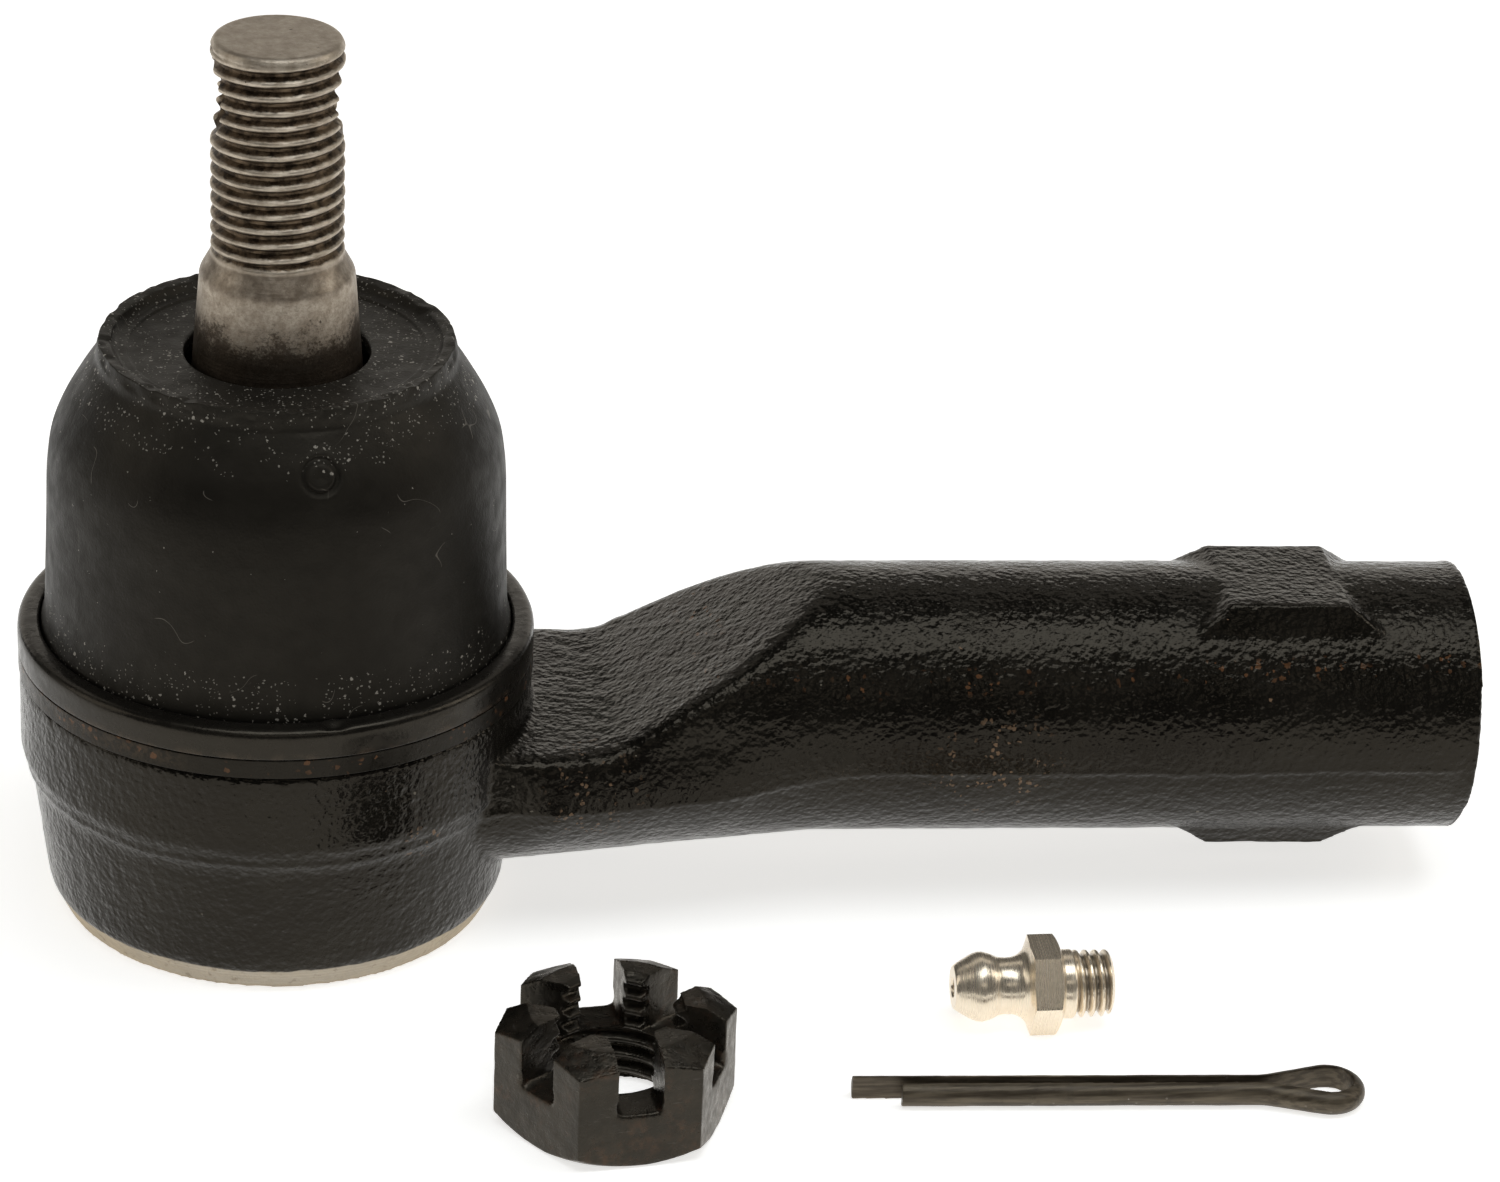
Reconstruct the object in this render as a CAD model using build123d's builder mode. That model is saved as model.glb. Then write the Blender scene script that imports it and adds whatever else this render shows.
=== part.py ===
from build123d import *
import os
from math import acos, atan2, cos, hypot, radians, sin, sqrt, tan

# Greasable outer tie rod end, with its loose castle nut, cotter pin and grease fitting.
# Frame: origin at the centre of the socket's bottom face, +Z up along the stud,
# +X from the socket towards the mouth of the threaded shank. Millimetres.

os.makedirs("parts", exist_ok=True)


# ---------------------------------------------------------------- driving dimensions

running_gap = 0.05                 # clearance between faces that slide on each other

# Ball and stud
ball_r = 12.5
ball_z = 18.0                      # height of the ball's centre, the pivot of every swing
ball_flat_z = ball_z - 10.5        # flat turned on the bottom of the ball
stud_neck_r = 6.2
stud_neck_top_z = 33.0
taper_rate = 1 / 12                # radius lost per millimetre of height, a 1:6 taper
taper_bottom_z = 43.6
taper_top_z = 62.6
taper_top_r = 6.95
taper_bottom_r = taper_top_r + (taper_top_z - taper_bottom_z) * taper_rate
stud_thread_r = 6.0                # M12 x 1.5, drawn at its major diameter
stud_thread_z = 64.4
stud_top_z = 84.6
stud_edge = 0.5
cotter_hole_z = 79.0
cotter_hole_r = 1.9
cotter_countersink_r = 3.8

# Socket
rim_r = 19.8                       # machined rim that the socket rests on
rim_edge_r = 21.3
rim_edge_z = 3.0
socket_wall_r = 22.55              # the forged wall just below its flare
socket_flare_z = 13.0
collar_r = 23.6
collar_z = 16.0
collar_top_z = 23.6
collar_edge = 0.4
spigot_r = 19.3                    # turned neck that the boot's foot sits on
spigot_top_z = 28.0
bearing_bore_r = 16.6
bearing_cone_z = 19.0              # where the bore begins to close in over the ball
mouth_r = 12.2
mouth_z = 25.4
plate_r = 18.0
plate_bottom_z = 1.5
plate_top_z = 3.5
rolled_lip_r = 15.6

# Shank, a tube whose axis falls slightly towards its mouth
shank_r = 12.7
shank_droop = 1.53                 # degrees
shank_mouth_x = 111.35
shank_mouth_z = 16.61
shank_length = 104.0
shank_thread_r = 7.19              # M16 x 1.5, drawn at its minor diameter
shank_thread_depth = 50.0
shank_mouth_chamfer = 1.1
drill_point = radians(59)

# Wrench pads across the shank
pad_across_flats = 25.4
pad_from_mouth = 18.0
pad_flat_length = 11.2
pad_flat_width = 12.8
pad_root_drop = 3.4                # how far the pad's sides are drawn down into the shank
pad_root_width = 16.4
pad_root_length = 20.6

# Neck between socket and shank
neck_root_x = 14.0
neck_root_width = 30.0
neck_root_low_z = 5.2
neck_root_high_z = 33.0
neck_root_corner_r = 10.0
neck_waist_x = 36.0
neck_waist_corner_r = 11.5
neck_waist_sag = 0.4               # the neck's underside hangs this much below the shank
neck_end_x = 54.0                  # where the neck has sunk into the shank
neck_end_r = shank_r - 0.4
neck_end_corner_r = neck_end_r - 0.05
neck_top_z = 19.4                  # flat top beside the socket
ramp_start_x = 30.2
ramp_top_x = 50.3
ramp_top_z = 31.0
ramp_low_fillet = 6.0
ramp_high_fillet = 12.0
ramp_cut_end_x = ramp_top_x + 8
ramp_cut_top_z = 40.0
ramp_cut_half_width = 25.0

# Dust boot and its rings
boot_foot_r = 23.4
boot_foot_top_z = 25.4
boot_wall = 2.3
boot_r = 21.35
boot_shoulder_r = 20.8
boot_shoulder_z = 43.0
boot_crown_r = 16.45
boot_crown_z = 54.0
boot_rim_r = 15.75
boot_rim_inner_r = 14.5
boot_rim_z = 56.0
boot_disc_z = 54.8
boot_disc_r = 13.6
boot_hole_r = 8.25
insert_top_z = 53.6
insert_thickness = 1.0
insert_r = 13.2
insert_hole_r = 8.9
ring_r = 23.7
ring_bore_r = 21.6
ring_top_z = 28.3
ring_edge = 0.35
boot_step_z = 28.6                 # where the boot's wall thins above the socket's spigot
boot_groove_z = 28.1               # top of the groove that the retainer ring sits in

# Castle nut, lying beside the socket
nut_centre = (27.3, -42.9)
nut_turn = 7.3                     # degrees, direction of one of its corners
nut_across_flats = 19.0
nut_height = 10.8
nut_thread_r = 5.19                # M12 x 1.5, drawn at its minor diameter
nut_slot_width = 3.9
nut_slot_depth = 5.4

# Grease fitting, lying with its axis along X and its ball head towards -X
fitting_tip = (59.35, -30.3)
fitting_hex_flats = 7.94
fitting_hex_start = 6.9
fitting_hex_end = 9.85
fitting_length = 14.5
fitting_bore_r = 1.35
fitting_mouth_r = 0.85
check_ball_r = 1.15

# Cotter pin, lying beside the fitting with its eye towards +X
pin_eye_end = (95.0, -45.6)
pin_turn = 176.6                   # degrees, direction from its eye to its tips
pin_r = 1.16
pin_long_leg = 46.6
pin_short_leg = 42.3
pin_leg_gap = 0.45                 # from each leg's flat to the pin's middle plane
pin_eye_r = 2.1
pin_eye_centre = 4.0
pin_neck = 9.8
pin_neck_bend_r = 5.0


# ---------------------------------------------------------------- shared geometry

shank_direction = Vector(cos(radians(shank_droop)), 0, -sin(radians(shank_droop)))
shank_mouth = Vector(shank_mouth_x, 0, shank_mouth_z)
shank_plane = Plane(origin=shank_mouth, x_dir=(0, 1, 0), z_dir=shank_direction)
shank_axis = Axis(shank_mouth, shank_direction)


def shank_axis_z(x):
    """Height of the shank's axis at a distance x from the stud's axis."""
    return shank_mouth_z + (shank_mouth_x - x) * tan(radians(shank_droop))


def sphere_r(radius, height):
    """Radius of the circle that a sphere has at a height above its centre."""
    return sqrt(radius**2 - height**2)


# ---------------------------------------------------------------- housing

bore_blind_end = shank_thread_depth + shank_thread_r / tan(drill_point)
bore_plane = Plane(origin=shank_mouth, x_dir=-shank_direction, z_dir=(0, 1, 0))

with BuildPart() as housing:
    with BuildSketch(shank_plane):
        Circle(shank_r)
    extrude(amount=-shank_length)

    with BuildSketch(Plane.YZ.offset(neck_root_x)):
        with Locations((0, (neck_root_low_z + neck_root_high_z) / 2)):
            RectangleRounded(neck_root_width, neck_root_high_z - neck_root_low_z, neck_root_corner_r)
    with BuildSketch(Plane.YZ.offset(neck_waist_x)):
        with Locations((0, shank_axis_z(neck_waist_x) - neck_waist_sag)):
            RectangleRounded(2 * shank_r, 2 * (shank_r + neck_waist_sag), neck_waist_corner_r)
    with BuildSketch(Plane.YZ.offset(neck_end_x)):
        with Locations((0, shank_axis_z(neck_end_x))):
            RectangleRounded(2 * neck_end_r, 2 * neck_end_r, neck_end_corner_r)
    loft(ruled=True)

    # The neck's flat top and the ramp up to the shank
    with BuildSketch(Plane.XZ):
        with BuildLine():
            FilletPolyline(
                (0, neck_top_z),
                (ramp_start_x, neck_top_z),
                (ramp_top_x, ramp_top_z),
                (ramp_cut_end_x, ramp_top_z),
                radius=(ramp_low_fillet, ramp_high_fillet),
            )
            Polyline(
                (ramp_cut_end_x, ramp_top_z),
                (ramp_cut_end_x, ramp_cut_top_z),
                (0, ramp_cut_top_z),
                (0, neck_top_z),
            )
        make_face()
    extrude(amount=ramp_cut_half_width, both=True, mode=Mode.SUBTRACT)

    # Socket wall, collar and spigot
    with BuildSketch(Plane.XZ):
        with BuildLine():
            Polyline(
                (0, 0),
                (rim_r, 0),
                (rim_edge_r, rim_edge_z),
                (socket_wall_r, socket_flare_z),
                (collar_r, collar_z),
                (collar_r, collar_top_z - collar_edge),
                (collar_r - collar_edge, collar_top_z),
                (spigot_r, collar_top_z),
                (spigot_r, spigot_top_z),
                (0, spigot_top_z),
                close=True,
            )
        make_face()
    revolve(axis=Axis.Z)

    # Wrench pads, above and below
    for side in (1, -1):
        pad_plane = Plane(
            origin=shank_mouth - shank_direction * pad_from_mouth,
            x_dir=shank_direction,
            z_dir=Vector(0, 1, 0).cross(shank_direction) * -side,
        )
        with BuildSketch(pad_plane.offset(pad_across_flats / 2)):
            Rectangle(pad_flat_length, pad_flat_width)
        with BuildSketch(pad_plane.offset(pad_across_flats / 2 - pad_root_drop)):
            Rectangle(pad_root_length, pad_root_width)
        loft(ruled=True)

    # Bearing bore, closing in over the ball to the mouth, and the recess of the cover plate
    with BuildSketch(Plane.XZ):
        with BuildLine():
            Polyline(
                (0, 0),
                (rolled_lip_r, 0),
                (rolled_lip_r, plate_bottom_z),
                (plate_r, plate_bottom_z),
                (plate_r, plate_top_z),
                (bearing_bore_r, plate_top_z),
                (bearing_bore_r, bearing_cone_z),
                (mouth_r, mouth_z),
                (mouth_r, spigot_top_z),
                (0, spigot_top_z),
                close=True,
            )
        make_face()
    revolve(axis=Axis.Z, mode=Mode.SUBTRACT)

    # Threaded bore of the shank, with its drill point
    with BuildSketch(bore_plane):
        with BuildLine():
            Polyline(
                (0, 0),
                (0, shank_thread_r + shank_mouth_chamfer),
                (shank_mouth_chamfer, shank_thread_r),
                (shank_thread_depth, shank_thread_r),
                (bore_blind_end, 0),
                close=True,
            )
        make_face()
    revolve(axis=shank_axis, mode=Mode.SUBTRACT)


# ---------------------------------------------------------------- ball stud

neck_meets_ball_z = ball_z + sphere_r(ball_r, stud_neck_r)
ball_flat_r = sphere_r(ball_r, ball_z - ball_flat_z)

with BuildPart() as ball_stud:
    with BuildSketch(Plane.XZ):
        with BuildLine():
            Polyline((0, neck_meets_ball_z), (0, ball_flat_z), (ball_flat_r, ball_flat_z))
            ThreePointArc((ball_flat_r, ball_flat_z), (ball_r, ball_z), (stud_neck_r, neck_meets_ball_z))
            Line((stud_neck_r, neck_meets_ball_z), (stud_neck_r, stud_neck_top_z))
            Spline(
                (stud_neck_r, stud_neck_top_z),
                (taper_bottom_r, taper_bottom_z),
                tangents=((0, 1), (-taper_rate, 1)),
            )
            Polyline(
                (taper_bottom_r, taper_bottom_z),
                (taper_top_r, taper_top_z),
                (stud_thread_r, stud_thread_z),
                (stud_thread_r, stud_top_z - stud_edge),
                (stud_thread_r - stud_edge, stud_top_z),
                (0, stud_top_z),
                (0, neck_meets_ball_z),
            )
        make_face()
    revolve(axis=Axis.Z)

    # Cross hole for the cotter pin, countersunk at both ends
    with BuildSketch(Plane.YZ):
        with Locations((0, cotter_hole_z)):
            Circle(cotter_hole_r)
    extrude(amount=2 * stud_thread_r, both=True, mode=Mode.SUBTRACT)
    for side in (1, -1):
        mouth_plane = Plane(
            origin=(side * stud_thread_r, 0, cotter_hole_z), x_dir=(0, 1, 0), z_dir=(-side, 0, 0)
        )
        with BuildSketch(mouth_plane):
            Circle(cotter_countersink_r)
        with BuildSketch(mouth_plane.offset(cotter_countersink_r - cotter_hole_r)):
            Circle(cotter_hole_r)
        loft(mode=Mode.SUBTRACT)


# ---------------------------------------------------------------- bearings and spring

cup_r = ball_r + running_gap        # spherical seat round the ball
bearing_r = bearing_bore_r - running_gap
half_split_gap = 0.6                # from each bearing half to the ball's middle plane
upper_low_z = ball_z + half_split_gap
upper_high_z = ball_z + 6.5
lower_high_z = ball_z - half_split_gap
lower_low_z = 5.2
lower_chamfer = 3.0
grease_hole_r = 4.0
seat_low_z = ball_z - sphere_r(cup_r, grease_hole_r)
cone_slope = (bearing_bore_r - mouth_r) / (mouth_z - bearing_cone_z)
upper_high_outer_r = bearing_r - (upper_high_z - bearing_cone_z) * cone_slope - running_gap


def seat_arc(low_z, high_z):
    """Arc of the spherical seat between two heights."""
    middle_z = (low_z + high_z) / 2
    return ThreePointArc(
        (sphere_r(cup_r, low_z - ball_z), low_z),
        (sphere_r(cup_r, middle_z - ball_z), middle_z),
        (sphere_r(cup_r, high_z - ball_z), high_z),
    )


with BuildPart() as upper_bearing:
    with BuildSketch(Plane.XZ):
        with BuildLine():
            seat_arc(upper_low_z, upper_high_z)
            Polyline(
                (sphere_r(cup_r, upper_high_z - ball_z), upper_high_z),
                (upper_high_outer_r, upper_high_z),
                (bearing_r, bearing_cone_z - running_gap),
                (bearing_r, upper_low_z),
                (sphere_r(cup_r, upper_low_z - ball_z), upper_low_z),
            )
        make_face()
    revolve(axis=Axis.Z)

with BuildPart() as lower_bearing:
    with BuildSketch(Plane.XZ):
        with BuildLine():
            seat_arc(seat_low_z, lower_high_z)
            Polyline(
                (sphere_r(cup_r, lower_high_z - ball_z), lower_high_z),
                (bearing_r, lower_high_z),
                (bearing_r, lower_low_z + lower_chamfer),
                (bearing_r - lower_chamfer, lower_low_z),
                (grease_hole_r, lower_low_z),
                (grease_hole_r, seat_low_z),
            )
        make_face()
    revolve(axis=Axis.Z)

spring_outer_r = 14.5
spring_inner_r = 8.2
spring_sheet = 0.9
spring_top_z = lower_low_z - 0.02

with BuildPart() as preload_spring:
    with BuildSketch(Plane.XZ):
        with BuildLine():
            Polyline(
                (spring_outer_r, plate_top_z),
                (spring_outer_r, plate_top_z + spring_sheet),
                (spring_inner_r, spring_top_z),
                (spring_inner_r, spring_top_z - spring_sheet),
                close=True,
            )
        make_face()
    revolve(axis=Axis.Z)


# ---------------------------------------------------------------- cover plate

port_r = 2.75                       # tapping size of the grease fitting's thread
boss_r = 5.6
boss_low_z = 0.0
boss_high_z = 4.9
boss_root_r = boss_r + 1.1           # where the drawn boss meets the plate

with BuildPart() as cover_plate:
    with BuildSketch(Plane.XZ):
        with BuildLine():
            Polyline(
                (port_r, boss_low_z),
                (boss_r, boss_low_z),
                (boss_root_r, plate_bottom_z),
                (plate_r - running_gap, plate_bottom_z),
                (plate_r - running_gap, plate_top_z),
                (boss_root_r, plate_top_z),
                (boss_r, boss_high_z),
                (port_r, boss_high_z),
                close=True,
            )
        make_face()
    revolve(axis=Axis.Z)


# ---------------------------------------------------------------- dust boot and its rings

shoulder_mid = 0.62                 # middle point of the shoulder's arc, as a part of its rise
boot_bulge_r = boot_crown_r + (boot_shoulder_r - boot_crown_r) * shoulder_mid
boot_bulge_z = boot_shoulder_z + (boot_crown_z - boot_shoulder_z) * shoulder_mid

with BuildPart() as dust_boot:
    with BuildSketch(Plane.XZ):
        with BuildLine():
            Polyline(
                (boot_shoulder_r - boot_wall, boot_shoulder_z),
                (boot_r - boot_wall, boot_step_z),
                (spigot_r + running_gap, spigot_top_z),
                (spigot_r + running_gap, collar_top_z + running_gap),
                (boot_foot_r, collar_top_z + running_gap),
                (boot_foot_r, boot_foot_top_z),
                (ring_bore_r - running_gap, boot_foot_top_z),
                (ring_bore_r - running_gap, boot_groove_z),
                (boot_r, ring_top_z),
                (boot_shoulder_r, boot_shoulder_z),
            )
            ThreePointArc(
                (boot_shoulder_r, boot_shoulder_z),
                (boot_bulge_r, boot_bulge_z),
                (boot_crown_r, boot_crown_z),
            )
            Polyline(
                (boot_crown_r, boot_crown_z),
                (boot_rim_r, boot_rim_z),
                (boot_rim_inner_r, boot_rim_z),
                (boot_disc_r, boot_disc_z),
                (boot_hole_r, boot_disc_z),
                (boot_hole_r, insert_top_z),
                (boot_crown_r - boot_wall, insert_top_z),
                (boot_crown_r - boot_wall, boot_crown_z - boot_wall),
            )
            ThreePointArc(
                (boot_crown_r - boot_wall, boot_crown_z - boot_wall),
                (boot_bulge_r - boot_wall, boot_bulge_z - boot_wall / 2),
                (boot_shoulder_r - boot_wall, boot_shoulder_z),
            )
        make_face()
    revolve(axis=Axis.Z)

with BuildPart() as boot_stiffener_ring:
    with BuildSketch(Plane.XY.offset(insert_top_z)):
        Circle(insert_r)
        Circle(insert_hole_r, mode=Mode.SUBTRACT)
    extrude(amount=-insert_thickness)

with BuildPart() as boot_retainer_ring:
    with BuildSketch(Plane.XY.offset(boot_foot_top_z)):
        Circle(ring_r)
        Circle(ring_bore_r, mode=Mode.SUBTRACT)
    extrude(amount=ring_top_z - boot_foot_top_z)
    chamfer(boot_retainer_ring.edges().filter_by(GeomType.CIRCLE), ring_edge)


# ---------------------------------------------------------------- castle nut

nut_corner_r = nut_across_flats / 2 / cos(radians(30))
nut_plane = Plane(origin=(*nut_centre, 0)).rotated((0, 0, nut_turn))
nut_foot_r = nut_across_flats / 2 - 0.3
nut_crown_r = 7.9
nut_crown_drop = 1.5
nut_foot_rise = 1.3
slot_cut_length = 3 * nut_corner_r

with BuildPart() as castle_nut:
    with BuildSketch(nut_plane):
        RegularPolygon(nut_corner_r, 6)
        Circle(nut_thread_r, mode=Mode.SUBTRACT)
    extrude(amount=nut_height)

    # Turned crown and foot, which take the hexagon's corners off
    with BuildSketch(Plane(nut_plane.origin, x_dir=(1, 0, 0), z_dir=(0, -1, 0))):
        with BuildLine():
            Polyline(
                (0, 0),
                (nut_foot_r, 0),
                (nut_corner_r, nut_foot_rise),
                (nut_corner_r, nut_height - nut_crown_drop),
                (nut_crown_r, nut_height),
                (0, nut_height),
                close=True,
            )
        make_face()
    revolve(axis=Axis(nut_plane.origin, (0, 0, 1)), mode=Mode.INTERSECT)

    # Slots across the middles of the flats
    with BuildSketch(nut_plane.offset(nut_height)):
        for angle in (30, 90, 150):
            Rectangle(slot_cut_length, nut_slot_width, rotation=angle)
    extrude(amount=-nut_slot_depth, mode=Mode.SUBTRACT)


# ---------------------------------------------------------------- grease fitting

fitting_origin = (*fitting_tip, fitting_hex_flats / 2)
fitting_plane = Plane(origin=fitting_origin, x_dir=(0, 1, 0), z_dir=(1, 0, 0))
fitting_profile_plane = Plane(origin=fitting_origin, x_dir=(1, 0, 0), z_dir=(0, -1, 0))
fitting_axis = Axis(fitting_origin, (1, 0, 0))
fitting_corner_r = fitting_hex_flats / 2 / cos(radians(30))
head_tip_r = 2.05
head_r = 3.23
head_wide = 2.5                     # distance of the head's widest place from its tip
head_round = 0.7                    # how far the widest place is rounded, each way
head_round_r = head_r - 0.1
head_neck_r = 2.6
head_neck = 4.6
head_hollow = (head_neck - 0.55, head_neck_r + 0.16)
head_neck_length = 0.8
flare_middle = (6.3, 3.05)
flare_end = fitting_hex_start + 0.05
flare_end_r = 3.9
hex_chamfer = 0.55
hex_chamfer_r = 3.3
collar_end = 10.9                   # plain collar between the hexagon and the thread
fitting_collar_r = 3.15
thread_r = 3.1
thread_end_r = 3.0
thread_tip = 0.5
thread_tip_r = 2.6
seat_end = 1.9                      # where the mouth's cone reaches the full bore
ball_place = seat_end + 0.35        # check ball's centre, just behind its seat
spring_stop = 8.6                   # shoulder that the check spring pushes on
outlet_r = 0.95

with BuildPart() as grease_fitting_body:
    with BuildSketch(fitting_plane.offset(fitting_hex_start)):
        RegularPolygon(fitting_corner_r, 6)
    extrude(amount=fitting_hex_end - fitting_hex_start)

    # Turned taper behind the hexagon
    with BuildSketch(fitting_profile_plane):
        with BuildLine():
            Polyline(
                (fitting_hex_start, 0),
                (fitting_hex_start, fitting_corner_r),
                (fitting_hex_end - hex_chamfer, fitting_corner_r),
                (fitting_hex_end, hex_chamfer_r),
                (fitting_hex_end, 0),
                close=True,
            )
        make_face()
    revolve(axis=fitting_axis, mode=Mode.INTERSECT)

    # Ball head, neck, flare and tapered thread
    with BuildSketch(fitting_profile_plane):
        with BuildLine():
            Polyline((0, 0), (0, head_tip_r), (head_wide - head_round, head_round_r))
            ThreePointArc(
                (head_wide - head_round, head_round_r),
                (head_wide, head_r),
                (head_wide + head_round, head_round_r),
            )
            ThreePointArc(
                (head_wide + head_round, head_round_r),
                head_hollow,
                (head_neck, head_neck_r),
            )
            Line((head_neck, head_neck_r), (head_neck + head_neck_length, head_neck_r))
            ThreePointArc(
                (head_neck + head_neck_length, head_neck_r),
                flare_middle,
                (flare_end, flare_end_r),
            )
            Polyline(
                (flare_end, flare_end_r),
                (flare_end, fitting_collar_r),
                (collar_end, fitting_collar_r),
                (collar_end, thread_r),
                (fitting_length - thread_tip, thread_end_r),
                (fitting_length, thread_tip_r),
                (fitting_length, 0),
                (0, 0),
            )
        make_face()
    revolve(axis=fitting_axis)

    # Passage: mouth, seat of the check ball, spring chamber and outlet
    with BuildSketch(fitting_profile_plane):
        with BuildLine():
            Polyline(
                (0, 0),
                (0, fitting_mouth_r),
                (seat_end - (fitting_bore_r - fitting_mouth_r), fitting_mouth_r),
                (seat_end, fitting_bore_r),
                (spring_stop, fitting_bore_r),
                (spring_stop, outlet_r),
                (fitting_length, outlet_r),
                (fitting_length, 0),
                close=True,
            )
        make_face()
    revolve(axis=fitting_axis, mode=Mode.SUBTRACT)

with BuildPart() as grease_fitting_ball:
    with BuildSketch(fitting_profile_plane):
        with BuildLine():
            ThreePointArc(
                (ball_place - check_ball_r, 0),
                (ball_place, check_ball_r),
                (ball_place + check_ball_r, 0),
            )
            Line((ball_place + check_ball_r, 0), (ball_place - check_ball_r, 0))
        make_face()
    revolve(axis=fitting_axis)

check_spring_gap = 0.05
check_spring_start = ball_place + check_ball_r + 0.15
check_spring_r = 0.95
check_wire_r = 0.15
check_spring_turns = 6
check_spring_height = spring_stop - check_spring_gap - check_spring_start - 2 * check_wire_r

with BuildPart() as grease_fitting_spring:
    with BuildLine() as check_coil:
        Helix(
            check_spring_height / check_spring_turns,
            check_spring_height,
            check_spring_r,
            center=Vector(*fitting_origin) + Vector(check_spring_start + check_wire_r, 0, 0),
            direction=(1, 0, 0),
        )
    with BuildSketch(Plane(origin=check_coil.line @ 0, z_dir=check_coil.line % 0)):
        Circle(check_wire_r)
    sweep(path=check_coil.line, is_frenet=True)


# ---------------------------------------------------------------- cotter pin

pin_plane = Plane(origin=(*pin_eye_end, pin_r)).rotated((0, 0, pin_turn))
neck_reach = pin_neck - pin_eye_centre
eye_turn = acos(pin_eye_r / hypot(neck_reach, pin_leg_gap)) + atan2(pin_leg_gap, neck_reach)
eye_side = (pin_eye_centre + pin_eye_r * cos(eye_turn), pin_eye_r * sin(eye_turn))
eye_inner_end = (pin_eye_centre - pin_eye_r, 0)

with BuildLine(pin_plane) as pin_route:
    FilletPolyline(
        (pin_long_leg, -pin_leg_gap),
        (pin_neck, -pin_leg_gap),
        (eye_side[0], -eye_side[1]),
        radius=pin_neck_bend_r,
    )
    ThreePointArc((eye_side[0], -eye_side[1]), eye_inner_end, eye_side)
    FilletPolyline(
        eye_side,
        (pin_neck, pin_leg_gap),
        (pin_short_leg, pin_leg_gap),
        radius=pin_neck_bend_r,
    )

long_tip = pin_plane.from_local_coords(Vector(pin_long_leg, -pin_leg_gap, 0))

with BuildPart() as cotter_pin:
    with BuildSketch(Plane(origin=long_tip, x_dir=(0, 0, 1), z_dir=-pin_plane.x_dir)):
        with BuildLine():
            ThreePointArc((-pin_r, 0), (0, -pin_r), (pin_r, 0))
            Line((pin_r, 0), (-pin_r, 0))
        make_face()
    sweep(path=pin_route.line)


# ---------------------------------------------------------------- labels and STEP files

housing.part.label = "housing"
ball_stud.part.label = "ball_stud"
upper_bearing.part.label = "upper_bearing"
lower_bearing.part.label = "lower_bearing"
preload_spring.part.label = "preload_spring"
cover_plate.part.label = "cover_plate"
dust_boot.part.label = "dust_boot"
boot_stiffener_ring.part.label = "boot_stiffener_ring"
boot_retainer_ring.part.label = "boot_retainer_ring"
castle_nut.part.label = "castle_nut"
grease_fitting_body.part.label = "grease_fitting_body"
grease_fitting_ball.part.label = "grease_fitting_ball"
grease_fitting_spring.part.label = "grease_fitting_spring"
cotter_pin.part.label = "cotter_pin"

export_step(housing.part, "parts/housing.step")
export_step(ball_stud.part, "parts/ball_stud.step")
export_step(upper_bearing.part, "parts/upper_bearing.step")
export_step(lower_bearing.part, "parts/lower_bearing.step")
export_step(preload_spring.part, "parts/preload_spring.step")
export_step(cover_plate.part, "parts/cover_plate.step")
export_step(dust_boot.part, "parts/dust_boot.step")
export_step(boot_stiffener_ring.part, "parts/boot_stiffener_ring.step")
export_step(boot_retainer_ring.part, "parts/boot_retainer_ring.step")
export_step(castle_nut.part, "parts/castle_nut.step")
export_step(grease_fitting_body.part, "parts/grease_fitting_body.step")
export_step(grease_fitting_ball.part, "parts/grease_fitting_ball.step")
export_step(grease_fitting_spring.part, "parts/grease_fitting_spring.step")
export_step(cotter_pin.part, "parts/cotter_pin.step")
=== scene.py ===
import itertools
import math

import bmesh
import bpy
import numpy as np
from mathutils import Matrix, Vector


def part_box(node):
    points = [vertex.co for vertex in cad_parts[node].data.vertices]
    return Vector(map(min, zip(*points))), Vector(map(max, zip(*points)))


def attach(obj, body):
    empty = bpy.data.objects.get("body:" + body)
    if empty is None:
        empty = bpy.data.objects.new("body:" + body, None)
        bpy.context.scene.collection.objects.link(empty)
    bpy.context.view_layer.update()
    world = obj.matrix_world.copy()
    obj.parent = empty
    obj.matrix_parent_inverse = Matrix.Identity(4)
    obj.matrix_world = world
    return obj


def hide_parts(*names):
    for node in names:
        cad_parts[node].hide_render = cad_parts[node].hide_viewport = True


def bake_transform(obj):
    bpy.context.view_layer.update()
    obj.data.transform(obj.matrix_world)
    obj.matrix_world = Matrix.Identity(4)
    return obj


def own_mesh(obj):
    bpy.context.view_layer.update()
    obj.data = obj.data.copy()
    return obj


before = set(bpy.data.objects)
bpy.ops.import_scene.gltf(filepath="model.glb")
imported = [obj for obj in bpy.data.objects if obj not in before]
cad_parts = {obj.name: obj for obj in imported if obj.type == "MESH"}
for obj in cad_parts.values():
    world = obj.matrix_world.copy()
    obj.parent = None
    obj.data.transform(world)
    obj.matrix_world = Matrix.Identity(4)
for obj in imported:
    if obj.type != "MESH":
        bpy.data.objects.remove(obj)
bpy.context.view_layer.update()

# Looks of a greasable outer tie rod end around its CAD frame: stud up +Z, shank towards +X, and the loose
# castle nut, grease fitting and cotter pin on the -Y side. Lengths named below are metres.

MM = 0.001

# Socket
BALL_Z = 18.0 * MM
BALL_R = 12.5 * MM

# Stud
STUD_THREAD_LOW = 64.6 * MM
STUD_THREAD_HIGH = 84.0 * MM
STUD_THREAD_TURNS = 13.96
STUD_CREST_R = 6.0 * MM
THREAD_DEPTH = 0.62 * MM
COTTER_HOLE_Z = 79.0 * MM
COTTER_HOLE_R = 1.9 * MM
COUNTERSINK_R = 3.8 * MM

# Shank
SHANK_DROOP = math.radians(1.53)
SHANK_MOUTH = Vector((111.35, 0, 16.61)) * MM
SHANK_BORE_R = 7.19 * MM
SHANK_THREAD_R = 8.0 * MM
SHANK_THREAD_PITCH = 1.5 * MM
SHANK_THREAD_DEPTH = 50.0 * MM

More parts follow.
